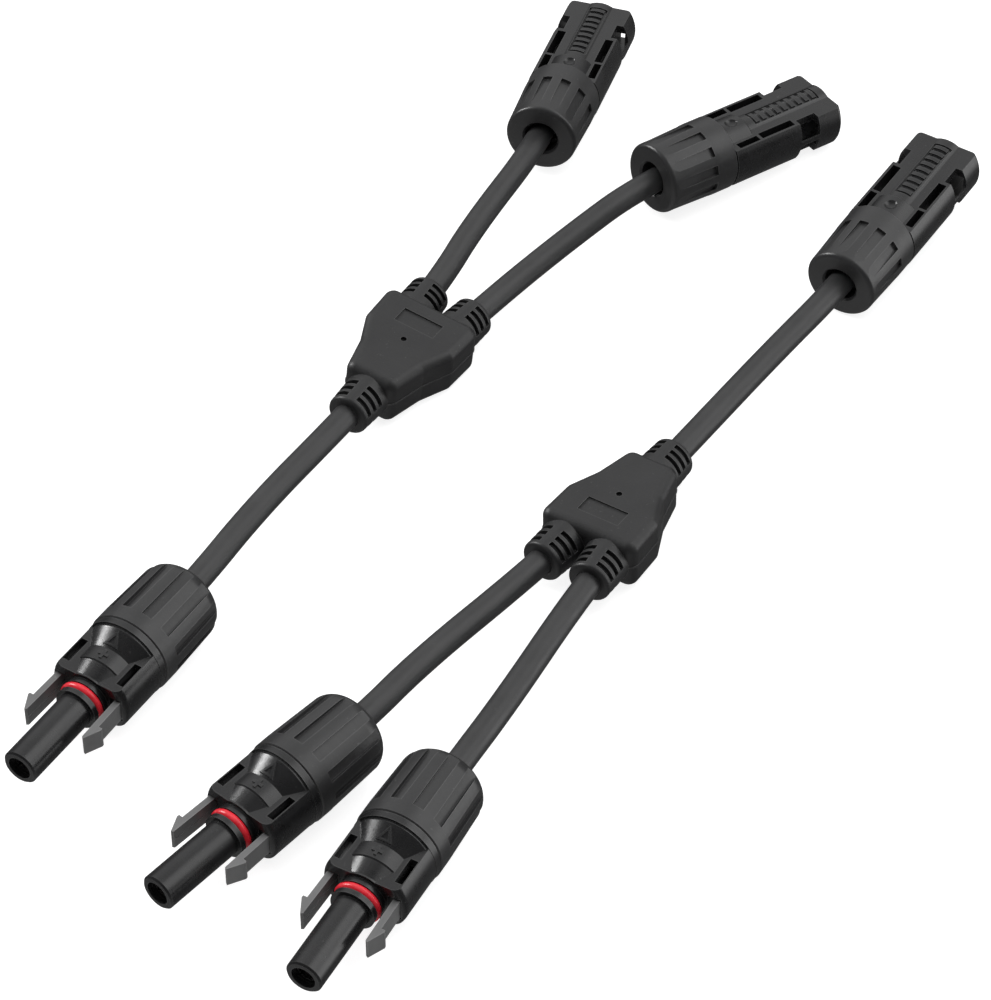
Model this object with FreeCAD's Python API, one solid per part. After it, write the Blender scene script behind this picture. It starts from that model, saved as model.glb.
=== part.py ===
"""Matched pair of branch leads with round, latching solar cable connectors.

Lead A has one plug on its trunk and two sockets on its branches.
Lead B has one socket on its trunk and two plugs on its branches.
Both leads lie on a flat surface at z = 0, with +X from the plugs to the sockets.
Each connector is drawn lying along its own +X axis, the way it is pushed home,
with x = 0 where the gland nut meets the housing. All sizes are in millimetres.
"""
import FreeCAD
import Part

import math
import os

V = FreeCAD.Vector
AXIS = V(1, 0, 0)
ORIGIN = V(0, 0, 0)

# Cable
CABLE_R = 2.9
CORE_R = 1.3
CORE_GAP = 0.05

# Gland parts that plugs and sockets share
TAIL_LENGTH = 11.0
TAIL_R = 7.2
THREAD_R = 7.5
THREAD_PITCH = 1.5
THREAD_RINGS = 5
CHAMBER_R = 5.65
CHAMBER_START = -2.5
CONTACT_BORE_R = 3.25
SEAL_R = 5.58
SEAL_GROOVES = 3
COLLET_BORE_R = 3.2
COLLET_R = 5.8
COLLET_FRONT = -10.3
COLLET_REAR = -15.0
COLLET_TIP_R = 4.7
COLLET_SLITS = 6
NUT_GAP = 0.1
NUT_THREAD_R = 7.65
NUT_HOLE_R = 4.0
NUT_GROOVES = 12
GROOVE_WIDTH = 2.4

# Plug
PLUG_HALF = 5.2
PLUG_RAIL_R = 9.4
PLUG_RIM_R = 9.5
PLUG_BAND_R = 7.07
PLUG_FRONT_R = 5.85
PLUG_RIM_END = 1.6
PLUG_CONE_END = 6.2
PLUG_BAND_END = 9.9
PLUG_BODY_END = 14.0
COLLAR_R = 5.0
RING_SEAT = 15.3
RING_SEAT_END = 17.1
RING_SEAT_R = 3.42
RING_TUBE_R = 0.88
COLLAR_END = 18.3
NOSE_R = 3.95
NOSE_END = 37.1
NOSE_BORE_R = 2.65
CONTACT_STOP = 13.0
PLUG_NUT_R = 9.75
PLUG_NUT_TAPER_R = 9.35
PLUG_NUT_END = -21.0
MARK_HEIGHT = 0.3
SLEEVE_R = 2.6
SLEEVE_BORE_R = 2.03
SLEEVE_END = 35.4

# Latch arms of the plug, drawn for the side at +Y
ARM_INNER = 6.5
ARM_OUTER = 7.9
ARM_HALF = 2.45
ARM_TIP = 25.4
ARM_BARB = 21.3
BARB_STEP = 0.95
ARM_SPLAY = 1.2
PIVOT_X = 5.0
PIVOT_Y = 7.25
PIVOT_R = 0.95
CHANNEL_HALF = 2.95

# Socket
SOCKET_HALF = 5.0
SOCKET_RAIL_R = 9.05
SOCKET_RIDGE_R = 5.75
SOCKET_BOSS_R = 6.8
SOCKET_BOSS_END = 8.0
BOSS_DENT_X = 4.2
BOSS_DENT_R = 2.4
BOSS_DENT_DEPTH = 0.65
SOCKET_END = 32.0
SOCKET_BORE_R = 4.05
SOCKET_BORE_START = 9.0
SOCKET_MOUTH_R = 5.05
SOCKET_MOUTH_START = 27.0
SOCKET_WALL_START = 7.4
SOCKET_PIN_R = 2.0
SOCKET_PIN_END = 26.5
SOCKET_NUT_R = 8.95
SOCKET_NUT_REAR_R = 8.55
SOCKET_NUT_END = -19.0
WINDOW_START = 19.4
WINDOW_END = 25.0
WINDOW_WEB = 0.35
SLOT_WEB = 0.8
GRIP_RIBS = 9
GRIP_DEPTH = 0.45

# Branch moulding, x = 0 at the dimple, +X towards the branches
MOULD_HALF = 6.0
MOULD_TRUNK_X = -14.4
MOULD_BRANCH_X = 13.4
RELIEF_LENGTH = 8.2
RELIEF_R = 5.3
RELIEF_TIP_R = 4.9
RELIEF_BORE_R = 2.95
RELIEF_RINGS = 3
BRANCH_OFFSET = 5.4
BRANCH_SPLAY = 4.0
SPLICE_HALF = 2.3

# Where the pieces lie: x, y, axis height, then heading, nose-down pitch and roll in degrees
SHIFT_X = -6.787
SHIFT_Y = -10.155
PLUGS = {
    "plug_a": (-86.4, 34.5, PLUG_NUT_R, 180.0, 0.0, 0.0),
    "plug_b1": (-98.1, -13.0, PLUG_NUT_R, 171.8, 0.0, 0.0),
    "plug_b2": (-99.7, -40.7, PLUG_NUT_R, 184.1, 0.0, 0.0),
}
SOCKETS = {
    "socket_a1": (116.9, 54.95, 8.93, 15.0, 4.0, 0.0),
    "socket_a2": (117.7, 13.75, 8.93, -20.8, 4.0, 0.0),
    "socket_b": (111.7, -33.7, 9.08, -0.5, -1.5, 0.0),
}
# How far each nut is screwed round, in degrees
NUT_TURNS = {
    "plug_a": 15.0, "plug_b1": 0.0, "plug_b2": 15.0,
    "socket_a1": 15.0, "socket_a2": 13.0, "socket_b": 22.0,
}
MOULDS = {
    "a": (20.3, 37.7, 7.3, 1.2, 1.5, 5.7),
    "b": (4.8, -28.3, 6.57, 178.6, -1.8, 2.4),
}
# Cable name: connector at one end, moulding at the other, the side it leaves by,
# and the x, y, z it passes halfway
CABLES = {
    "a_trunk": ("plug_a", "a", "trunk", (-36.5, 37.1, 8.9)),
    "a_branch1": ("socket_a1", "a", "left", (65.8, 47.7, 8.5)),
    "a_branch2": ("socket_a2", "a", "right", (72.3, 27.5, 7.9)),
    "b_trunk": ("socket_b", "b", "trunk", (66.9, -31.2, 7.3)),
    "b_branch1": ("plug_b1", "b", "right", (-55.2, -16.7, 8.6)),
    "b_branch2": ("plug_b2", "b", "left", (-55.7, -37.7, 8.9)),
}
CABLE_LEAD_OUT = 21.0
MOULD_LEAD_OUT = 13.0


# ---------------------------------------------------------------- helpers

def placement(spot):
    """Placement of a piece that lies at x, y, z with a heading, a pitch and a roll."""
    x, y, z, heading, pitch, roll = spot
    turn = FreeCAD.Rotation(heading, pitch, roll)
    return FreeCAD.Placement(V(x + SHIFT_X, y + SHIFT_Y, z), turn)


def placed(shape, spot):
    moved = shape.copy()
    moved.Placement = placement(spot).multiply(shape.Placement)
    return moved


def outline(steps):
    """Closed wire in the XZ half-plane: (x, r) adds a line, (xm, rm, x, r) adds an arc."""
    edges = []
    first = V(steps[0][0], 0, steps[0][1])
    here = first
    for step in steps[1:]:
        there = V(step[-2], 0, step[-1])
        if len(step) == 4:
            middle = V(step[0], 0, step[1])
            edges.append(Part.Arc(here, middle, there).toShape())
        else:
            edges.append(Part.LineSegment(here, there).toShape())
        here = there
    if here.distanceToPoint(first) > 1e-6:
        edges.append(Part.LineSegment(here, first).toShape())
    return Part.Wire(edges)


def turned(steps):
    """Solid turned about the X axis from an outline of x and radius."""
    return Part.Face(outline(steps)).revolve(ORIGIN, AXIS, 360)


def rod(x0, x1, radius):
    return Part.makeCylinder(radius, x1 - x0, V(x0, 0, 0), AXIS)


def tube(x0, x1, outer, inner):
    return rod(x0, x1, outer).cut(rod(x0 - 1, x1 + 1, inner))


def block(x0, x1, y0, y1, z0, z1):
    return Part.makeBox(x1 - x0, y1 - y0, z1 - z0, V(x0, y0, z0))


def both_sides(shape):
    """The shape and its mirror image across the XZ plane."""
    return [shape, shape.mirror(ORIGIN, V(0, 1, 0))]


def around(shape, count, first=0.0):
    """Copies of a shape spaced evenly around the X axis."""
    copies = []
    for index in range(count):
        copy = shape.copy()
        copy.rotate(ORIGIN, AXIS, first + index * 360.0 / count)
        copies.append(copy)
    return copies


def one_solid(shape):
    """The single solid of a finished shape, with merged faces."""
    solids = shape.removeSplitter().Solids
    assert len(solids) == 1, "expected one solid, got %d" % len(solids)
    return solids[0]


# ---------------------------------------------------------------- gland parts

def threaded_tail():
    """Rear sleeve of a housing, with raised thread rings."""
    tail = rod(-TAIL_LENGTH, 0, TAIL_R)
    for index in range(THREAD_RINGS):
        x = -2.0 - index * THREAD_PITCH
        ring = turned([(x - 0.6, TAIL_R - 0.5), (x - 0.6, TAIL_R), (x - 0.2, THREAD_R),
                       (x + 0.2, THREAD_R), (x + 0.6, TAIL_R), (x + 0.6, TAIL_R - 0.5)])
        tail = tail.fuse(ring)
    return tail


def seal():
    """Ribbed rubber sleeve that is squeezed onto the cable."""
    body = tube(-10.2, CHAMBER_START - 0.1, SEAL_R, CABLE_R + 0.03)
    for index in range(SEAL_GROOVES):
        x = -8.6 + index * 2.4
        body = body.cut(tube(x, x + 0.9, SEAL_R + 1, SEAL_R - 0.5))
    return one_solid(body)


def collet():
    """Clamp ring with slit fingers that the nut closes onto the cable."""
    step = -TAIL_LENGTH - 0.2
    body = turned([(COLLET_FRONT, COLLET_BORE_R), (COLLET_FRONT, CHAMBER_R - 0.15),
                   (step, CHAMBER_R - 0.15), (step, COLLET_R), (COLLET_REAR + 1.4, COLLET_R),
                   (COLLET_REAR, COLLET_TIP_R), (COLLET_REAR, COLLET_BORE_R)])
    slit = block(COLLET_REAR - 1, step - 0.8, -0.4, 0.4, 0, COLLET_R + 1)
    return one_solid(body.cut(around(slit, COLLET_SLITS)))


def nut_cavity(rear):
    """Space inside a gland nut: thread bore, collet pocket, cone and cable hole."""
    pocket = COLLET_R + 0.15
    return turned([(1, 0), (1, NUT_THREAD_R), (-TAIL_LENGTH - 0.5, NUT_THREAD_R),
                   (-TAIL_LENGTH - 0.5, pocket), (COLLET_REAR + 1.3, pocket),
                   (COLLET_REAR - 0.1, COLLET_TIP_R + 0.1), (COLLET_REAR - 0.1, NUT_HOLE_R),
                   (rear + 0.5, NUT_HOLE_R), (rear - 0.1, NUT_HOLE_R + 0.6), (rear - 0.1, 0)])


def nut_groove(front, rear, depth_front, depth_rear):
    """Cutter for one grip groove: a flat floor between two straight walls."""
    floor = Part.makePolygon([V(front, 0, depth_front), V(rear, 0, depth_rear),
                              V(rear, 0, 12), V(front + 0.35, 0, 12), V(front, 0, depth_front)])
    cutter = Part.Face(floor).extrude(V(0, GROOVE_WIDTH, 0))
    cutter.translate(V(0, -GROOVE_WIDTH / 2, 0))
    return cutter


def plug_nut():
    """Gland nut of the plug, with a rounded rear shoulder."""
    body = turned([(-NUT_GAP, 0), (-NUT_GAP, PLUG_NUT_R - 0.2), (-NUT_GAP - 0.2, PLUG_NUT_R),
                   (-4.4, PLUG_NUT_R), (-16.6, PLUG_NUT_TAPER_R),
                   (-19.5, 8.35, PLUG_NUT_END, 5.9), (PLUG_NUT_END, 0)])
    groove = nut_groove(-3.8, PLUG_NUT_END - 1, 8.8, 8.5)
    body = body.cut(around(groove, NUT_GROOVES))
    return one_solid(body.cut(nut_cavity(PLUG_NUT_END)))


def socket_nut():
    """Gland nut of the socket, with a flat rear face and grooves that run out."""
    body = turned([(-NUT_GAP, 0), (-NUT_GAP, SOCKET_NUT_R - 0.2),
                   (-NUT_GAP - 0.2, SOCKET_NUT_R), (-5.0, SOCKET_NUT_R),
                   (-18.0, SOCKET_NUT_REAR_R), (-18.75, 8.2, SOCKET_NUT_END, 7.4),
                   (SOCKET_NUT_END, 0)])
    groove = nut_groove(-6.0, -18.6, 8.1, 8.6)
    body = body.cut(around(groove, NUT_GROOVES))
    return one_solid(body.cut(nut_cavity(SOCKET_NUT_END)))


# ---------------------------------------------------------------- plug

def plug_core():
    """Turned middle of the plug: rim, cones, band, ring seat and nose."""
    return turned([(0, 0), (0, PLUG_RIM_R), (PLUG_RIM_END, PLUG_RIM_R), (PLUG_RIM_END, 9.0),
                   (2.1, 9.0), (PLUG_CONE_END, PLUG_BAND_R), (PLUG_BAND_END, PLUG_BAND_R),
                   (PLUG_BAND_END + 0.25, PLUG_BAND_R - 0.3), (PLUG_BODY_END - 0.4, PLUG_FRONT_R),
                   (PLUG_BODY_END, PLUG_FRONT_R), (PLUG_BODY_END, COLLAR_R),
                   (RING_SEAT, COLLAR_R), (RING_SEAT, RING_SEAT_R), (RING_SEAT_END, RING_SEAT_R),
                   (RING_SEAT_END, COLLAR_R - 0.1), (COLLAR_END, COLLAR_R - 0.1),
                   (COLLAR_END, NOSE_R), (NOSE_END - 0.4, NOSE_R), (NOSE_END, NOSE_R - 0.4),
                   (NOSE_END, 0)])


def plug_rails():
    """Side rails of the plug: a flat slab of a cylinder with rounded front corners."""
    barrel = turned([(0, 0), (0, PLUG_RAIL_R), (12.4, PLUG_RAIL_R),
                     (13.6, 8.9, PLUG_BODY_END, 7.7), (PLUG_BODY_END, 0)])
    return barrel.common(block(0, PLUG_BODY_END, -12, 12, -PLUG_HALF, PLUG_HALF))


def triangle(tip, base, half):
    """Upright prism over a triangle that points back along the plug."""
    corners = [V(tip, 0, 5), V(base, -half, 5), V(base, half, 5), V(tip, 0, 5)]
    return Part.Face(Part.makePolygon(corners)).extrude(V(0, 0, 6))


def plug_marks():
    """Raised plus sign on the band and raised arrowhead outline on the rear cone."""
    plus_x = (PLUG_CONE_END + PLUG_BAND_END) / 2
    plus = block(plus_x - 1.2, plus_x + 1.2, -0.32, 0.32, 5, 9)
    plus = plus.fuse(block(plus_x - 0.32, plus_x + 0.32, -1.2, 1.2, 5, 9))
    plus = plus.common(tube(0, 20, PLUG_BAND_R + MARK_HEIGHT, PLUG_BAND_R - 0.3))
    shell = turned([(2.1, 8.7), (2.1, 9.0 + MARK_HEIGHT),
                    (PLUG_CONE_END, PLUG_BAND_R + MARK_HEIGHT),
                    (PLUG_CONE_END, PLUG_BAND_R - 0.3)])
    arrow = triangle(2.6, 5.7, 1.75).cut(triangle(3.5, 5.3, 0.95)).common(shell)
    return [plus, arrow]


def plug_housing():
    """Housing of the plug: core, rails, tail, latch channels and slots."""
    body = plug_core().fuse([plug_rails(), threaded_tail()])
    body = body.fuse(plug_marks())
    channel = block(3.0, PLUG_BODY_END + 1, 5.5, 8.25, -CHANNEL_HALF, CHANNEL_HALF)
    slot = block(5.4, 11.9, 5.9, 7.6, -8, 8)
    bores = rod(CONTACT_STOP - 1, NOSE_END + 1, NOSE_BORE_R)
    bores = bores.fuse([rod(CHAMBER_START - 1, CONTACT_STOP, CONTACT_BORE_R),
                        rod(-TAIL_LENGTH - 1, CHAMBER_START, CHAMBER_R)])
    return one_solid(body.cut(both_sides(channel) + both_sides(slot) + [bores]))


def latch_arm():
    """Latch arm at +Y: a slightly splayed finger on a pivot boss, with a barb and part line."""
    side = Part.makePolygon([V(PIVOT_X, ARM_INNER, 0), V(ARM_TIP - 0.3, ARM_INNER, 0),
                             V(ARM_TIP, ARM_INNER + 0.5, 0), V(ARM_BARB + 0.5, ARM_OUTER + BARB_STEP, 0),
                             V(ARM_BARB, ARM_OUTER + BARB_STEP - 0.1, 0), V(ARM_BARB, ARM_OUTER, 0),
                             V(PIVOT_X, ARM_OUTER, 0), V(PIVOT_X, ARM_INNER, 0)])
    arm = Part.Face(side).extrude(V(0, 0, 2 * ARM_HALF))
    arm.translate(V(0, 0, -ARM_HALF))
    boss = Part.makeCylinder(PIVOT_R, 2 * ARM_HALF, V(PIVOT_X, PIVOT_Y, -ARM_HALF), V(0, 0, 1))
    part_line = block(7, ARM_TIP + 1, ARM_INNER - 1, ARM_INNER + 0.12, -0.12, 0.12)
    arm = arm.fuse(boss).cut(part_line)
    arm.rotate(V(PIVOT_X, PIVOT_Y, 0), V(0, 0, 1), ARM_SPLAY)
    return one_solid(arm)


def ring():
    """Sealing ring on the collar of the nose."""
    middle = (RING_SEAT + RING_SEAT_END) / 2
    radius = RING_SEAT_R + RING_TUBE_R + 0.03
    return Part.makeTorus(radius, RING_TUBE_R, V(middle, 0, 0), AXIS)


def sleeve_contact():
    """Metal contact of the plug: crimp barrel, collar and slit sleeve."""
    body = turned([(2.5, CORE_R + CORE_GAP), (2.5, 2.2), (11.0, 2.2), (11.0, 3.1),
                   (CONTACT_STOP - 0.1, 3.1), (CONTACT_STOP - 0.1, SLEEVE_R),
                   (SLEEVE_END - 0.3, SLEEVE_R), (SLEEVE_END, SLEEVE_R - 0.25),
                   (SLEEVE_END, SLEEVE_BORE_R), (18.0, SLEEVE_BORE_R), (17.0, 0), (10.0, 0),
                   (10.0, CORE_R + CORE_GAP)])
    slit = block(25.0, SLEEVE_END + 1, -4, 4, -0.2, 0.2)
    return one_solid(body.cut(around(slit, 4, 45)[:2]))


# ---------------------------------------------------------------- socket

def socket_block():
    """Flat body of the socket with its round boss and the ridge over the bore."""
    barrel = turned([(0, 0), (0, SOCKET_RAIL_R), (SOCKET_END - 0.9, SOCKET_RAIL_R),
                     (SOCKET_END - 0.25, 8.75, SOCKET_END, 8.1), (SOCKET_END, 0)])
    slab = barrel.common(block(0, SOCKET_END, -12, 12, -SOCKET_HALF, SOCKET_HALF))
    boss = turned([(0, 0), (0, SOCKET_BOSS_R), (SOCKET_BOSS_END - 0.8, SOCKET_BOSS_R),
                   (SOCKET_BOSS_END - 0.2, 6.15, SOCKET_BOSS_END, SOCKET_RIDGE_R - 0.2),
                   (SOCKET_BOSS_END, 0)])
    ridge = rod(0, SOCKET_END, SOCKET_RIDGE_R)
    return slab.fuse([boss, ridge])


def socket_grip():
    """Recessed strip on top of the ridge with low cross ribs, and its cutter."""
    start, end = 10.2, 29.8
    strip = block(start, end, -2.25, 2.25, 4.9, 8)
    cutter = strip.common(tube(start - 1, end + 1, 8, SOCKET_RIDGE_R - GRIP_DEPTH))
    ribs = []
    pitch = (end - start) / GRIP_RIBS
    for index in range(GRIP_RIBS):
        x = start + (index + 0.5) * pitch
        rib = block(x - 0.55, x + 0.55, -1.7, 1.7, 4.9, 8)
        ribs.append(rib.common(tube(start, end, SOCKET_RIDGE_R, SOCKET_RIDGE_R - GRIP_DEPTH - 0.1)))
    return cutter, ribs


def socket_openings():
    """Cutters for the latch channels, latch windows and the slots in the rails."""
    channel = block(19.0, SOCKET_END + 1, 5.3, 8.05, -3.0, 3.0)
    window = block(WINDOW_START, WINDOW_END, 5.9, 12, -8, 8)
    web = tube(WINDOW_START - 1, WINDOW_END + 1, SOCKET_RAIL_R, SOCKET_RAIL_R - WINDOW_WEB)
    web = web.common(block(WINDOW_START - 1, WINDOW_END + 1, 5.9, 12, -0.6, 0.6))
    cutters = [channel, window.cut(web)]
    for low, high in ((SLOT_WEB, 8), (-8, -SLOT_WEB)):
        cutters.append(block(8.5, 18.4, 4.95, 7.0, low, high))
        cutters.append(block(1.6, 7.8, 5.3, 7.1, low, high))
    return [piece for cutter in cutters for piece in both_sides(cutter)]


def socket_bore():
    """Space inside the socket: seal chamber, contact bore, wall hole, bore and mouth."""
    return turned([(-TAIL_LENGTH - 1, 0), (-TAIL_LENGTH - 1, CHAMBER_R),
                   (CHAMBER_START, CHAMBER_R), (CHAMBER_START, CONTACT_BORE_R),
                   (SOCKET_WALL_START, CONTACT_BORE_R), (SOCKET_WALL_START, SOCKET_PIN_R + 0.1),
                   (SOCKET_BORE_START, SOCKET_PIN_R + 0.1), (SOCKET_BORE_START, SOCKET_BORE_R),
                   (SOCKET_MOUTH_START, SOCKET_BORE_R), (SOCKET_MOUTH_START + 0.8, SOCKET_MOUTH_R),
                   (SOCKET_END + 1, SOCKET_MOUTH_R), (SOCKET_END + 1, 0)])


def socket_housing():
    """Housing of the socket with its tail, openings, grip strip, boss dent and bore."""
    cutter, ribs = socket_grip()
    body = socket_block().fuse(threaded_tail())
    body = body.cut(cutter).fuse(ribs)
    dent_height = SOCKET_BOSS_R + BOSS_DENT_R - BOSS_DENT_DEPTH
    dent = Part.makeSphere(BOSS_DENT_R, V(BOSS_DENT_X, 0, dent_height))
    return one_solid(body.cut(socket_openings() + [dent, socket_bore()]))


def pin_contact():
    """Metal contact of the socket: crimp barrel, collar and round-nosed pin."""
    tip = SOCKET_PIN_END
    return one_solid(turned([
        (1.0, CORE_R + CORE_GAP), (1.0, 2.2), (6.2, 2.2), (6.2, 3.1),
        (SOCKET_WALL_START - 0.1, 3.1), (SOCKET_WALL_START - 0.1, SOCKET_PIN_R),
        (tip - 2.0, SOCKET_PIN_R), (tip - 0.8, 1.6), (tip, 0.7), (tip, 0.0), (6.3, 0.0),
        (6.3, CORE_R + CORE_GAP)]))


# ---------------------------------------------------------------- moulding

def mould_outline():
    """Half-widths along the moulding, from the trunk end to the branch end."""
    return [(MOULD_TRUNK_X, 6.1), (-4.6, 8.4), (2.6, 11.5), (MOULD_BRANCH_X, 11.9)]


def rounded_prism(points, radius, half):
    """Prism over a polygon whose upright edges are rounded."""
    wire = Part.makePolygon([V(x, y, -half) for x, y in points + points[:1]])
    prism = Part.Face(wire).extrude(V(0, 0, 2 * half))
    uprights = [edge for edge in prism.Edges
                if abs(edge.tangentAt(edge.FirstParameter).z) > 0.9]
    return prism.makeFillet(radius, uprights)


def mould_body():
    """Flat body of the moulding with soft edges and a thin mould line around it."""
    upper = mould_outline()
    points = upper + [(x, -y) for x, y in reversed(upper)]
    prism = rounded_prism(points, 2.4, MOULD_HALF)
    rims = [edge for edge in prism.Edges
            if abs(edge.CenterOfMass.z) > MOULD_HALF - 0.01]
    body = prism.makeFillet(2.2, rims)
    grown = [(x + math.copysign(0.14, x), y + math.copysign(0.14, y)) for x, y in points]
    return body.fuse(rounded_prism(grown, 2.4, 0.16))


def relief():
    """Ribbed strain relief along +X from x = 0, before its slots are cut."""
    return turned([(-4, 0), (-4, RELIEF_R), (0, RELIEF_R), (RELIEF_LENGTH - 0.9, RELIEF_TIP_R),
                   (RELIEF_LENGTH - 0.25, RELIEF_TIP_R - 0.25, RELIEF_LENGTH, RELIEF_TIP_R - 0.9),
                   (RELIEF_LENGTH, 0)])


def relief_slots():
    """Cutters for the arc-shaped slots of one strain relief."""
    cutters = []
    for index in range(RELIEF_RINGS):
        x = 1.7 + index * 2.0
        arc = Part.makeCylinder(RELIEF_R + 1, 1.2, V(x, 0, 0), AXIS, 62)
        arc = arc.cut(rod(x - 1, x + 3, 4.0))
        cutters.extend(around(arc, 4, 14))
    return cutters


def exits():
    """Placement of each strain relief in the moulding's own frame, named by side."""
    trunk = FreeCAD.Placement(V(MOULD_TRUNK_X, 0, 0), FreeCAD.Rotation(180, 0, 0))
    left = FreeCAD.Placement(V(MOULD_BRANCH_X, BRANCH_OFFSET, 0),
                             FreeCAD.Rotation(BRANCH_SPLAY, 0, 0))
    right = FreeCAD.Placement(V(MOULD_BRANCH_X, -BRANCH_OFFSET, 0),
                              FreeCAD.Rotation(-BRANCH_SPLAY, 0, 0))
    return {"trunk": trunk, "left": left, "right": right}


# How far the jacket and the bare core reach into the moulding from each exit
JACKET_IN = {"trunk": 8.4, "left": 4.6, "right": 4.6}
CORE_IN = {"trunk": 14.0, "left": 9.8, "right": 9.8}


def splice(gap=0.0):
    """Splice block that joins the three cores; a gap makes it the space it sits in."""
    corners = [(-3.5, 3.2 + gap), (5.2, 7.2 + gap), (5.2, -7.2 - gap), (-3.5, -3.2 - gap)]
    corners = [(x + math.copysign(gap, x), y) for x, y in corners]
    return rounded_prism(corners, 1.0, SPLICE_HALF + gap)


def core_bores(radius, extra):
    """Rods that the three cores fill inside the moulding."""
    rods = []
    for side, exit_place in exits().items():
        bore = rod(-CORE_IN[side] - extra, -JACKET_IN[side] + 0.5, radius)
        bore.Placement = exit_place
        rods.append(bore)
    return rods


def mould():
    """The whole moulding: body, three strain reliefs, recess, dimple and cable bores."""
    reliefs, cutters = [], []
    for side, exit_place in exits().items():
        boot = relief()
        boot.Placement = exit_place
        reliefs.append(boot)
        bore = rod(-JACKET_IN[side] - 0.05, RELIEF_LENGTH + 1, RELIEF_BORE_R)
        for cutter in relief_slots() + [bore]:
            cutter.Placement = exit_place.multiply(cutter.Placement)
            cutters.append(cutter)
    recess = block(4.1, 8.6, -5.0, 5.0, MOULD_HALF - 0.4, MOULD_HALF + 1)
    dimple = Part.makeCylinder(0.7, 2, V(0, 0, MOULD_HALF - 0.9), V(0, 0, 1))
    body = mould_body().fuse(reliefs)
    body = body.cut(cutters + [recess, dimple, splice(0.05)] + core_bores(CORE_R + CORE_GAP, 0.3))
    return one_solid(body)


def splice_block():
    return one_solid(splice().cut(core_bores(CORE_R + 0.02, 0.02)))


# ---------------------------------------------------------------- cables

def cable_route(name):
    """Points of a cable's centre line from inside its connector to inside the moulding."""
    connector, lead, side, (x, y, z) = CABLES[name]
    is_plug = connector in PLUGS
    near = placement(PLUGS[connector] if is_plug else SOCKETS[connector])
    far = placement(MOULDS[lead]).multiply(exits()[side])
    jacket_end = 1.5 if is_plug else 0.0
    return [near.multVec(V(jacket_end, 0, 0)), near.multVec(V(-CABLE_LEAD_OUT, 0, 0)),
            V(x + SHIFT_X, y + SHIFT_Y, z), far.multVec(V(MOULD_LEAD_OUT, 0, 0)),
            far.multVec(V(-JACKET_IN[side], 0, 0))]


def bend(before, corner, after):
    """Radius and the two tangent points of the arc at a corner of a route."""
    back = before - corner
    ahead = after - corner
    shorter = min(back.Length, ahead.Length)
    half_turn = (math.pi - back.getAngle(ahead)) / 2
    radius = 0.45 * shorter / math.tan(half_turn)
    return radius, corner + back * (0.45 * shorter / back.Length), \
        corner + ahead * (0.45 * shorter / ahead.Length)


def rounded_path(points):
    """Wire of straight runs joined by tangent arcs, and the arcs' radii."""
    edges, radii = [], []
    here = points[0]
    for before, corner, after in zip(points, points[1:], points[2:]):
        radius, enter, leave = bend(before, corner, after)
        centre_way = ((before - corner).normalize() + (after - corner).normalize()).normalize()
        reach = math.sqrt(radius ** 2 + (enter - corner).Length ** 2) - radius
        edges.append(Part.LineSegment(here, enter).toShape())
        edges.append(Part.Arc(enter, corner + centre_way * reach, leave).toShape())
        radii.append(radius)
        here = leave
    edges.append(Part.LineSegment(here, points[-1]).toShape())
    return Part.Wire(edges), radii


def swept(path, radius):
    """Round rod along a path."""
    start = path.Edges[0]
    circle = Part.makeCircle(radius, start.valueAt(start.FirstParameter),
                             start.tangentAt(start.FirstParameter))
    return path.makePipeShell([Part.Wire(circle)], True, True)


def cable_and_core(name):
    """Jacket tube of a cable and the bare core inside it, which stands out at both ends."""
    points = cable_route(name)
    path, radii = rounded_path(points)
    connector, _, side, _ = CABLES[name]
    crimped = 7.5 if connector in PLUGS else 5.6
    jacket = swept(path, CABLE_R).cut(swept(path, CORE_R + CORE_GAP))
    first = points[0] + (points[0] - points[1]).normalize() * crimped
    last = points[-1] + (points[-1] - points[-2]).normalize() * (CORE_IN[side] - JACKET_IN[side])
    long_path = Part.Wire([Part.LineSegment(first, points[0]).toShape()] + path.Edges
                          + [Part.LineSegment(points[-1], last).toShape()])
    core = swept(long_path, CORE_R)
    section = math.pi * (CABLE_R ** 2 - (CORE_R + CORE_GAP) ** 2)
    print("cable_%s length %.1f, volume %.0f, section x length %.0f, radii %s"
          % (name, path.Length, jacket.Volume, section * path.Length,
             ", ".join("%.0f" % radius for radius in radii)))
    return one_solid(jacket), one_solid(core)


# ---------------------------------------------------------------- assembly

def plug_parts():
    left, right = both_sides(latch_arm())
    return {"housing": plug_housing(), "latch_left": left, "latch_right": one_solid(right),
            "ring": ring(), "contact": sleeve_contact(), "nut": plug_nut(),
            "seal": seal(), "collet": collet()}


def socket_parts():
    return {"housing": socket_housing(), "contact": pin_contact(), "nut": socket_nut(),
            "seal": seal(), "collet": collet()}


def build():
    """Every node of the pair of leads, by name."""
    nodes = {}
    for spots, parts in ((PLUGS, plug_parts()), (SOCKETS, socket_parts())):
        for connector, spot in spots.items():
            for piece, shape in parts.items():
                if piece == "nut":
                    shape = around(shape, 1, NUT_TURNS[connector])[0]
                nodes["%s_%s" % (connector, piece)] = placed(shape, spot)
    moulding, junction = mould(), splice_block()
    for lead, spot in MOULDS.items():
        nodes["branch_mould_" + lead] = placed(moulding, spot)
        nodes["splice_block_" + lead] = placed(junction, spot)
    for name in CABLES:
        nodes["cable_" + name], nodes["core_" + name] = cable_and_core(name)
    return nodes


def main():
    os.makedirs("parts", exist_ok=True)
    for name, shape in build().items():
        assert shape.isValid(), name
        shape.exportStep("parts/%s.step" % name)


if __name__ == "__main__":
    main()
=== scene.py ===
import math

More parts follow.
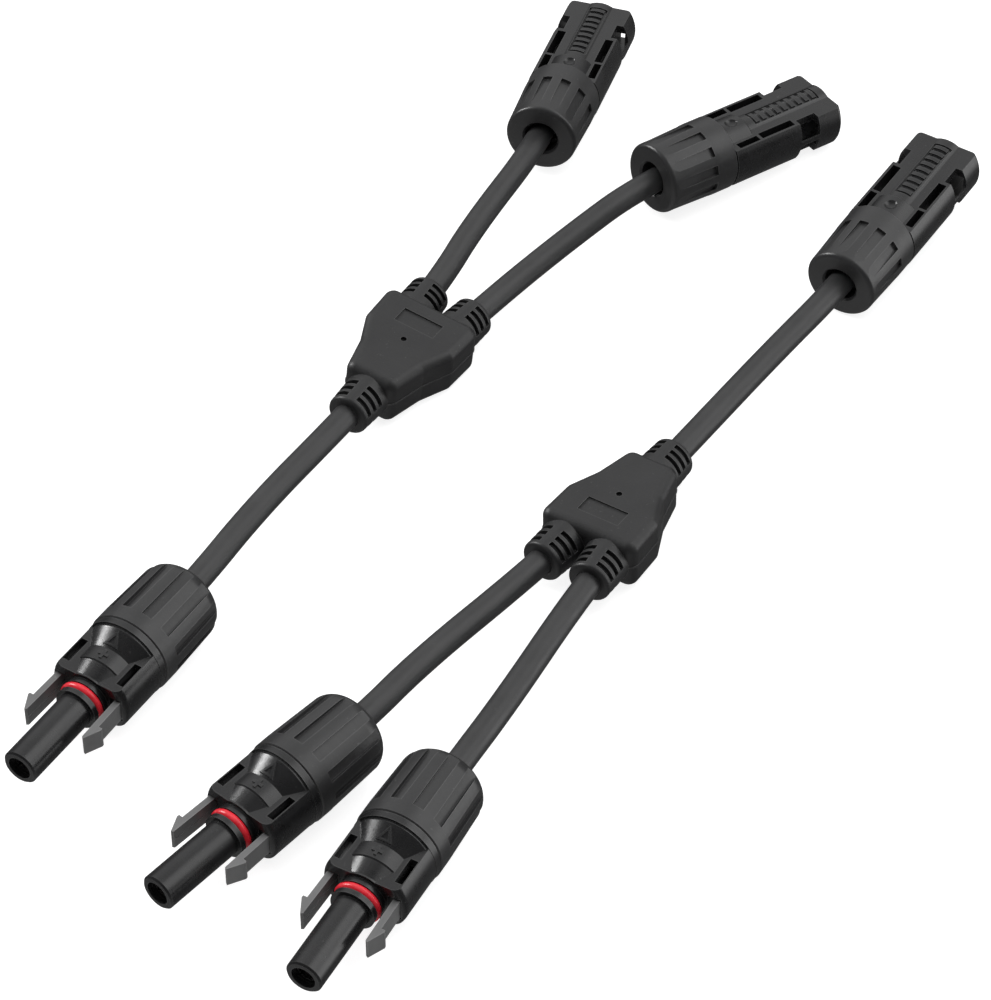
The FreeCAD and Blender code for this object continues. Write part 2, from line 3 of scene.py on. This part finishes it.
import bmesh
import bpy
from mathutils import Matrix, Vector


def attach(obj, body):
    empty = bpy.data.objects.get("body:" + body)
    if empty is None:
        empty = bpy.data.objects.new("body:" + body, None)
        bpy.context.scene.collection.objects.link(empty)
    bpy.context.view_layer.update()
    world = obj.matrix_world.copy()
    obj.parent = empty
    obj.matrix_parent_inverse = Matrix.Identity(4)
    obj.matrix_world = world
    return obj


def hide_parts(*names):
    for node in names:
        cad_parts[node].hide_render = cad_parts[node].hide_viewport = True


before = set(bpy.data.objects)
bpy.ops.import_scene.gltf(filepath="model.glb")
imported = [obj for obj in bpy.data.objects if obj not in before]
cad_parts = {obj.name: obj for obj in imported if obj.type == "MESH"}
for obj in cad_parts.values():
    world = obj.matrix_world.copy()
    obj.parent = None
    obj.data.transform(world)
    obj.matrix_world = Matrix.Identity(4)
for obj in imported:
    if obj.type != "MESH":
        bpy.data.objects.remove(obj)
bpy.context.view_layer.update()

# ---------------------------------------------------------------- camera
CAMERA_PLACE = Vector((-0.5131, -0.3315, 0.5996))
CAMERA_LOOK = Vector((0.5970, 0.3789, -0.7071))
CAMERA_LENS = 140.4
CAMERA_SENSOR = 36.0
CAMERA_CLIP_END = 20.0

# ---------------------------------------------------------------- studio
WHITE = (1.0, 1.0, 1.0, 1.0)
BLACK = (0.0, 0.0, 0.0, 1.0)
FLOOR_HALF = 3.0
FLOOR_DROP = 0.00005
FLOOR_EMISSION = 0.84
BACKDROP_RADIUS = 2.8
BACKDROP_SUBDIVISIONS = 3
# Surroundings: an even dim level, and soft bright patches that the black plastic reflects.
# Each patch: direction, cosine at its edge and where it is full, radiance
DIM_STUDIO = 0.10
GLOWS = [
    ((0.60, -0.80, 0.02), 0.90, 0.99, 2.2),
    ((0.60, 0.38, 0.70), 0.66, 0.97, 0.70),
    ((0.47, -0.53, 0.71), 0.84, 0.99, 1.9),
    ((-0.70, 0.00, -0.71), 0.60, 0.95, 0.25),
]
# Area lights: place, target, size, power in watts
OVERHEAD = ((0.1, 0.1, 1.4), (0, 0, 0), (1.8, 1.8), 22.0)
LEFT_STRIP = ((-0.08, 0.95, 0.52), (-0.08, 0, 0), (0.22, 0.42), 7.0)

# ---------------------------------------------------------------- finishes
PLASTIC_IOR = 1.53
EDGE_RADIUS = 0.0004
NODE_EDGE_WIDTH = 0.00015
NODE_EDGE_ANGLE = math.radians(32)
NODE_EDGE_SEGMENTS = 2
BLUE_CAST = 0.0005
# Grey of the darker and lighter plastic and of rubbed edges with a painted edge highlight,
# blue cast of the first two, roughness, depth and scale of the mould grain
PLASTICS = {
    "housing_nylon": (0.0065, 0.0115, 0.07, BLUE_CAST, 0.27, 0.14, 4200),
    # Latch arms: the housing's black plastic, with lighter greys as a painted reflection of the
    # light on them
    "latch_nylon_painted_reflection": (0.088, 0.115, 0.20, BLUE_CAST, 0.34, 0.14, 4200),
    "nut_nylon": (0.016, 0.022, 0.09, BLUE_CAST, 0.36, 0.35, 2600),
    "overmould": (0.009, 0.015, 0.08, BLUE_CAST, 0.46, 0.45, 1700),
    "collet_nylon": (0.010, 0.018, 0.07, 0.0, 0.45, 0.25, 2600),
}
JACKET_GREYS = (0.019, 0.027)
JACKET_DUST = (0.06, 0.06, 0.062)
FLOOR_GREYS = (0.36, 0.40)

# ---------------------------------------------------------------- cables
CABLE_DIAMETER = 0.0058
CORE_DIAMETER = 0.0026
# How far the bare core stands out of the jacket: at a plug, at a socket, in the moulding
CORE_IN_PLUG = 0.0075
CORE_IN_SOCKET = 0.0056
CORE_IN_MOULD_TRUNK = 0.0056
CORE_IN_MOULD_BRANCH = 0.0052
CABLES_WITH_PLUGS = ("a_trunk", "b_branch1", "b_branch2")
CURVE_STEPS = 24
CURVE_ROUND_STEPS = 10
# Length, body, and the route from the connector to the junction
CABLE_ROUTES = {
    "a_trunk": (0.1023, "lead_a", [
        (-0.0947, 0.0243, 0.0097), (-0.0722, 0.0243, 0.0097), (-0.0433, 0.0269, 0.0089),
        (-0.0139, 0.0270, 0.0080), (0.0075, 0.0274, 0.0075)]),
    "a_branch1": (0.0890, "lead_a", [
        (0.1101, 0.0448, 0.0089), (0.0899, 0.0394, 0.0104), (0.0590, 0.0375, 0.0085),
        (0.0398, 0.0344, 0.0072), (0.0222, 0.0328, 0.0076)]),
    "a_branch2": (0.0912, "lead_a", [
        (0.1109, 0.0036, 0.0089), (0.0913, 0.0110, 0.0104), (0.0655, 0.0173, 0.0079),
        (0.0400, 0.0218, 0.0060), (0.0224, 0.0227, 0.0066)]),
    "b_trunk": (0.1012, "lead_b", [
        (0.1049, -0.0439, 0.0091), (0.0839, -0.0437, 0.0085), (0.0601, -0.0414, 0.0073),
        (0.0254, -0.0391, 0.0057), (0.0040, -0.0386, 0.0064)]),
    "b_branch1": (0.0964, "lead_b", [
        (-0.1064, -0.0229, 0.0097), (-0.0841, -0.0262, 0.0097), (-0.0620, -0.0269, 0.0086),
        (-0.0282, -0.0315, 0.0071), (-0.0107, -0.0332, 0.0066)]),
    "b_branch2": (0.0974, "lead_b", [
        (-0.1080, -0.0510, 0.0097), (-0.0855, -0.0494, 0.0097), (-0.0625, -0.0479, 0.0089),
        (-0.0285, -0.0441, 0.0077), (-0.0109, -0.0433, 0.0071)]),
}


# ---------------------------------------------------------------- node helpers
class Shader:
    """A material's node tree, with short calls for the nodes used here."""

    def __init__(self, name):
        self.material = bpy.data.materials.new(name)
        self.material.use_nodes = True
        self.tree = self.material.node_tree
        self.nodes = self.tree.nodes
        self.nodes.clear()
        self.output = self.nodes.new("ShaderNodeOutputMaterial")
        self.surface = self.nodes.new("ShaderNodeBsdfPrincipled")
        self.link(self.surface.outputs[0], self.output.inputs["Surface"])
        self.coordinates = self.nodes.new("ShaderNodeTexCoord").outputs["Object"]

    def link(self, source, target):
        self.tree.links.new(source, target)

    def set(self, socket, value):
        self.surface.inputs[socket].default_value = value

    def mapped(self, scale, rotation=(0, 0, 0)):
        node = self.nodes.new("ShaderNodeMapping")
        node.inputs["Scale"].default_value = scale
        node.inputs["Rotation"].default_value = rotation
        self.link(self.coordinates, node.inputs["Vector"])
        return node.outputs[0]

    def noise(self, scale, detail, vector=None, roughness=0.5):
        node = self.nodes.new("ShaderNodeTexNoise")
        node.inputs["Scale"].default_value = scale
        node.inputs["Detail"].default_value = detail
        node.inputs["Roughness"].default_value = roughness
        self.link(vector or self.coordinates, node.inputs["Vector"])
        return node.outputs["Fac"]

    def ramp(self, source, low, high, out_low=0.0, out_high=1.0):
        node = self.nodes.new("ShaderNodeMapRange")
        node.inputs["From Min"].default_value = low
        node.inputs["From Max"].default_value = high
        node.inputs["To Min"].default_value = out_low
        node.inputs["To Max"].default_value = out_high
        self.link(source, node.inputs["Value"])
        return node.outputs["Result"]

    def math(self, operation, first, second):
        node = self.nodes.new("ShaderNodeMath")
        node.operation = operation
        for socket, value in zip(node.inputs, (first, second)):
            if isinstance(value, (int, float)):
                socket.default_value = value
            else:
                self.link(value, socket)
        return node.outputs[0]

    def mix(self, factor, first, second):
        node = self.nodes.new("ShaderNodeMix")
        node.data_type = "RGBA"
        self.link(factor, node.inputs[0])
        for socket, value in zip((node.inputs[6], node.inputs[7]), (first, second)):
            if isinstance(value, tuple):
                socket.default_value = (*value, 1.0)
            else:
                self.link(value, socket)
        return node.outputs[2]

    def edges(self, radius, sensitivity):
        """Near 1 on edges and 0 on flats: how far a rounded normal turns from the true one."""
        bevel = self.nodes.new("ShaderNodeBevel")
        bevel.samples = 6
        bevel.inputs["Radius"].default_value = radius
        geometry = self.nodes.new("ShaderNodeNewGeometry")
        dot = self.nodes.new("ShaderNodeVectorMath")
        dot.operation = "DOT_PRODUCT"
        self.link(bevel.outputs[0], dot.inputs[0])
        self.link(geometry.outputs["Normal"], dot.inputs[1])
        return self.ramp(dot.outputs["Value"], 1.0, 1.0 - sensitivity)

    def bump(self, height, strength, distance, under=None):
        node = self.nodes.new("ShaderNodeBump")
        node.inputs["Strength"].default_value = strength
        node.inputs["Distance"].default_value = distance
        self.link(height, node.inputs["Height"])
        if under is not None:
            self.link(under, node.inputs["Normal"])
        return node.outputs[0]


# ---------------------------------------------------------------- materials
def grey(level, cast=0.0):
    """A grey with a little more blue in it by the cast."""
    return (level, level, level + cast)


def moulded_plastic(name):
    """Spark-eroded mould grain on glass-filled nylon, with flow marks, dust and rubbed edges that
    also carry a painted edge highlight.
    """
    dark, light, wear_and_edge_highlight, cast, roughness, grain, grain_scale = PLASTICS[name]
    dark, light, wear_and_edge_highlight = grey(dark, cast), grey(light, cast), grey(wear_and_edge_highlight)
    shader = Shader(name)
    fine = shader.noise(grain_scale, 3.0)
    cloud = shader.noise(90, 4.0, roughness=0.6)
    smear = shader.noise(1.0, 3.0, vector=shader.mapped((900, 160, 500), (0, 0, 0.5)))
    edge = shader.edges(EDGE_RADIUS, 0.22)
    specks = shader.ramp(shader.noise(1500, 2.0, roughness=0.4), 0.70, 0.78)
    colour = shader.mix(shader.ramp(cloud, 0.3, 0.7), dark, light)
    colour = shader.mix(shader.math("MULTIPLY", specks, 0.35), colour, wear_and_edge_highlight)
    # lighter edges: partly rubbed wear, partly a painted edge highlight
    colour = shader.mix(shader.math("MULTIPLY", edge, 0.55), colour, wear_and_edge_highlight)
    shader.link(colour, shader.surface.inputs["Base Color"])
    rough = shader.ramp(cloud, 0.25, 0.75, roughness - 0.05, roughness + 0.06)
    rough = shader.math("ADD", rough, shader.ramp(smear, 0.3, 0.8, -0.02, 0.03))
    rough = shader.math("SUBTRACT", rough, shader.math("MULTIPLY", edge, 0.06))
    shader.link(rough, shader.surface.inputs["Roughness"])
    normal = shader.bump(fine, grain, 0.00006)
    normal = shader.bump(cloud, 0.12, 0.00006, normal)
    shader.link(normal, shader.surface.inputs["Normal"])
    shader.set("IOR", PLASTIC_IOR)
    return shader.material


def cable_jacket(name, heading):
    """Cross-linked jacket: faint draw lines along the cable, a dry bloom and a little dust."""
    shader = Shader(name)
    along = shader.mapped((45, 2300, 2300), (0, 0, -heading))
    lines = shader.noise(1.0, 3.0, vector=along)
    fine = shader.noise(3200, 2.0)
    cloud = shader.noise(120, 4.0, roughness=0.62)
    specks = shader.ramp(shader.noise(1300, 2.0), 0.71, 0.77)
    dark, light = (grey(level, BLUE_CAST) for level in JACKET_GREYS)
    colour = shader.mix(shader.ramp(cloud, 0.3, 0.72), dark, light)
    colour = shader.mix(shader.math("MULTIPLY", specks, 0.3), colour, JACKET_DUST)
    shader.link(colour, shader.surface.inputs["Base Color"])
    rough = shader.math("ADD", shader.ramp(lines, 0.25, 0.75, 0.36, 0.46),
                        shader.ramp(cloud, 0.3, 0.7, -0.02, 0.04))
    shader.link(rough, shader.surface.inputs["Roughness"])
    normal = shader.bump(lines, 0.30, 0.00008)
    normal = shader.bump(fine, 0.25, 0.00005, normal)
    shader.link(normal, shader.surface.inputs["Normal"])
    return shader.material


def silicone(name, dark, light, roughness):
    """Moulded silicone or rubber with a soft, faintly mottled skin."""
    shader = Shader(name)
    cloud = shader.noise(500, 3.0)
    fine = shader.noise(3500, 2.0)
    colour = shader.mix(shader.ramp(cloud, 0.3, 0.7), dark, light)
    shader.link(colour, shader.surface.inputs["Base Color"])
    rough = shader.ramp(cloud, 0.2, 0.8, roughness - 0.05, roughness + 0.08)
    shader.link(rough, shader.surface.inputs["Roughness"])
    shader.link(shader.bump(fine, 0.15, 0.00004), shader.surface.inputs["Normal"])
    return shader.material


def turned_metal(name, dark, light, roughness):
    """Plated contact: turning marks round the part, tarnish in patches and bright edges."""
    shader = Shader(name)
    marks = shader.noise(1.0, 2.0, vector=shader.mapped((5200, 300, 300)))
    cloud = shader.noise(400, 4.0, roughness=0.65)
    edge = shader.edges(0.0002, 0.2)
    colour = shader.mix(shader.ramp(cloud, 0.3, 0.75), light, dark)
    colour = shader.mix(edge, colour, light)
    shader.link(colour, shader.surface.inputs["Base Color"])
    rough = shader.ramp(marks, 0.2, 0.8, roughness - 0.06, roughness + 0.08)
    shader.link(rough, shader.surface.inputs["Roughness"])
    shader.link(shader.bump(marks, 0.2, 0.00005), shader.surface.inputs["Normal"])
    shader.set("Metallic", 1.0)
    return shader.material


def paper_floor():
    shader = Shader("studio_floor")
    cloud = shader.noise(6, 3.0)
    dark, light = (grey(level) for level in FLOOR_GREYS)
    shader.link(shader.mix(cloud, dark, light), shader.surface.inputs["Base Color"])
    shader.set("Roughness", 0.9)
    shader.set("Emission Color", WHITE)
    shader.set("Emission Strength", FLOOR_EMISSION)
    return shader.material


# ---------------------------------------------------------------- camera, floor and light
def make_camera():
    data = bpy.data.cameras.new("camera")
    data.lens = CAMERA_LENS
    data.sensor_width = CAMERA_SENSOR
    data.sensor_fit = "AUTO"
    data.clip_end = CAMERA_CLIP_END
    camera = bpy.data.objects.new("camera", data)
    bpy.context.scene.collection.objects.link(camera)
    camera.location = CAMERA_PLACE
    camera.rotation_mode = "QUATERNION"
    camera.rotation_quaternion = CAMERA_LOOK.to_track_quat("-Z", "Y")
    bpy.context.scene.camera = camera


def make_floor():
    """Pale sheet that reflections do not see, so the black plastic mirrors only the studio."""
    half = FLOOR_HALF
    mesh = bpy.data.meshes.new("floor")
    corners = [(-half, -half, 0), (half, -half, 0), (half, half, 0), (-half, half, 0)]
    mesh.from_pydata(corners, [], [(0, 1, 2, 3)])
    floor = bpy.data.objects.new("floor", mesh)
    bpy.context.scene.collection.objects.link(floor)
    floor.location.z = -FLOOR_DROP
    mesh.materials.append(paper_floor())
    floor.visible_glossy = False


def make_backdrop():
    """White surround that closes the view above the floor and takes no part in the lighting."""
    mesh = bpy.data.meshes.new("backdrop")
    dome = bmesh.new()
    bmesh.ops.create_icosphere(dome, subdivisions=BACKDROP_SUBDIVISIONS,
                                radius=BACKDROP_RADIUS)
    dome.to_mesh(mesh)
    dome.free()
    backdrop = bpy.data.objects.new("backdrop", mesh)
    bpy.context.scene.collection.objects.link(backdrop)
    shader = Shader("studio_backdrop")
    shader.set("Base Color", BLACK)
    shader.set("Emission Color", WHITE)
    shader.set("Emission Strength", 1.0)
    mesh.materials.append(shader.material)
    for ray in ("diffuse", "glossy", "transmission", "volume_scatter", "shadow"):
        setattr(backdrop, f"visible_{ray}", False)


def softbox(name, place, target, size, power):
    data = bpy.data.lights.new(name, "AREA")
    data.shape = "RECTANGLE"
    data.size, data.size_y = size
    data.energy = power
    light = bpy.data.objects.new(name, data)
    bpy.context.scene.collection.objects.link(light)
    light.location = place
    light.rotation_mode = "QUATERNION"
    light.rotation_quaternion = (Vector(target) - Vector(place)).to_track_quat("-Z", "Y")
    return light


def glow(world, direction, edge, full, strength, sky):
    """Adds a soft bright patch round a direction to the total of the sky."""
    nodes, links = world.node_tree.nodes, world.node_tree.links
    dot = nodes.new("ShaderNodeVectorMath")
    dot.operation = "DOT_PRODUCT"
    dot.inputs[1].default_value = Vector(direction).normalized()
    links.new(sky["direction"], dot.inputs[0])
    patch = nodes.new("ShaderNodeMapRange")
    patch.interpolation_type = "SMOOTHSTEP"
    patch.inputs["From Min"].default_value = edge
    patch.inputs["From Max"].default_value = full
    patch.inputs["To Max"].default_value = strength
    links.new(dot.outputs["Value"], patch.inputs["Value"])
    total = nodes.new("ShaderNodeMath")
    links.new(sky["total"], total.inputs[0])
    links.new(patch.outputs["Result"], total.inputs[1])
    sky["total"] = total.outputs[0]


def make_surroundings():
    world = bpy.data.worlds.new("studio")
    world.use_nodes = True
    nodes, links = world.node_tree.nodes, world.node_tree.links
    base = nodes.new("ShaderNodeValue")
    base.outputs[0].default_value = DIM_STUDIO
    sky = {"direction": nodes.new("ShaderNodeTexCoord").outputs["Generated"],
           "total": base.outputs[0]}
    for patch in GLOWS:
        glow(world, *patch, sky)
    links.new(sky["total"], nodes["Background"].inputs["Strength"])
    nodes["Background"].inputs["Color"].default_value = WHITE
    bpy.context.scene.world = world


def make_lights():
    make_surroundings()
    overhead = softbox("overhead", *OVERHEAD)
    overhead.visible_glossy = False
    softbox("left_strip", *LEFT_STRIP)


# ---------------------------------------------------------------- pieces
def spline_tube(name, points, diameter, material):
    """A round cable whose centreline is one NURBS spline with the route's points."""
    curve = bpy.data.curves.new(name, "CURVE")
    curve.dimensions = "3D"
    curve.resolution_u = CURVE_STEPS
    curve.bevel_depth = diameter / 2
    curve.bevel_resolution = CURVE_ROUND_STEPS
    curve.use_fill_caps = True
    spline = curve.splines.new("NURBS")
    spline.points.add(len(points) - 1)
    for target, place in zip(spline.points, points):
        target.co = (*place, 1.0)
    spline.order_u = 3
    spline.use_endpoint_u = True
    tube = bpy.data.objects.new(name, curve)
    bpy.context.scene.collection.objects.link(tube)
    curve.materials.append(material)
    return tube


def bare_core_points(name, points):
    """The route with a bare length added straight on at both ends."""
    first, second = Vector(points[0]), Vector(points[1])
    last, before = Vector(points[-1]), Vector(points[-2])
    near = CORE_IN_PLUG if name in CABLES_WITH_PLUGS else CORE_IN_SOCKET
    far = CORE_IN_MOULD_TRUNK if name.endswith("trunk") else CORE_IN_MOULD_BRANCH
    return [tuple(first + (first - second).normalized() * near), *points,
            tuple(last + (last - before).normalized() * far)]


def make_cables(copper):
    for name, (length, body, points) in CABLE_ROUTES.items():
        run = Vector(points[-1]) - Vector(points[0])
        jacket = cable_jacket(f"jacket_{name}", math.atan2(run.y, run.x))
        core = spline_tube(f"strands_{name}", bare_core_points(name, points), CORE_DIAMETER, copper)
        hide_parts(f"core_{name}")
        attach(core, body)
        cable = spline_tube(f"jacketed_{name}", points, CABLE_DIAMETER, jacket)
        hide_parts(f"cable_{name}")
        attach(cable, body)


def finish_of(node, finishes):
    """The material for a CAD node, by the word in its name that says what it is."""
    for word, material in finishes.items():
        if word in node:
            return material
    raise ValueError(f"no finish for {node}")


def dress_nodes(finishes):
    for name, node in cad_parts.items():
        if name.startswith(("cable_", "core_")):
            continue
        node.data.materials.clear()
        node.data.materials.append(finish_of(name, finishes))
        bevel = node.modifiers.new("rounded_edges", "BEVEL")
        bevel.width = NODE_EDGE_WIDTH
        bevel.segments = NODE_EDGE_SEGMENTS
        bevel.limit_method = "ANGLE"
        bevel.angle_limit = NODE_EDGE_ANGLE
        bevel.use_clamp_overlap = True
        bevel.harden_normals = False


def main():
    make_camera()
    make_floor()
    make_backdrop()
    make_lights()
    housing = moulded_plastic("housing_nylon")
    # latch arms: black plastic whose lighter greys are a painted reflection
    latch = moulded_plastic("latch_nylon_painted_reflection")
    nut = moulded_plastic("nut_nylon")
    mould = moulded_plastic("overmould")
    collet = moulded_plastic("collet_nylon")
    red = silicone("red_silicone", (0.50, 0.012, 0.022), (0.66, 0.022, 0.036), 0.30)
    rubber = silicone("gland_rubber", grey(0.012), grey(0.03), 0.6)
    tin = turned_metal("tinned_copper", (0.42, 0.41, 0.39), (0.80, 0.79, 0.77), 0.26)
    copper = turned_metal("bare_copper", (0.50, 0.22, 0.12), (0.86, 0.45, 0.30), 0.32)
    make_cables(copper)
    dress_nodes({
        "_housing": housing, "_latch": latch, "_ring": red, "_contact": tin, "_nut": nut,
        "_seal": rubber, "_collet": collet, "branch_mould": mould, "splice_block": copper,
    })
    bpy.context.scene.view_settings.view_transform = "Standard"


main()
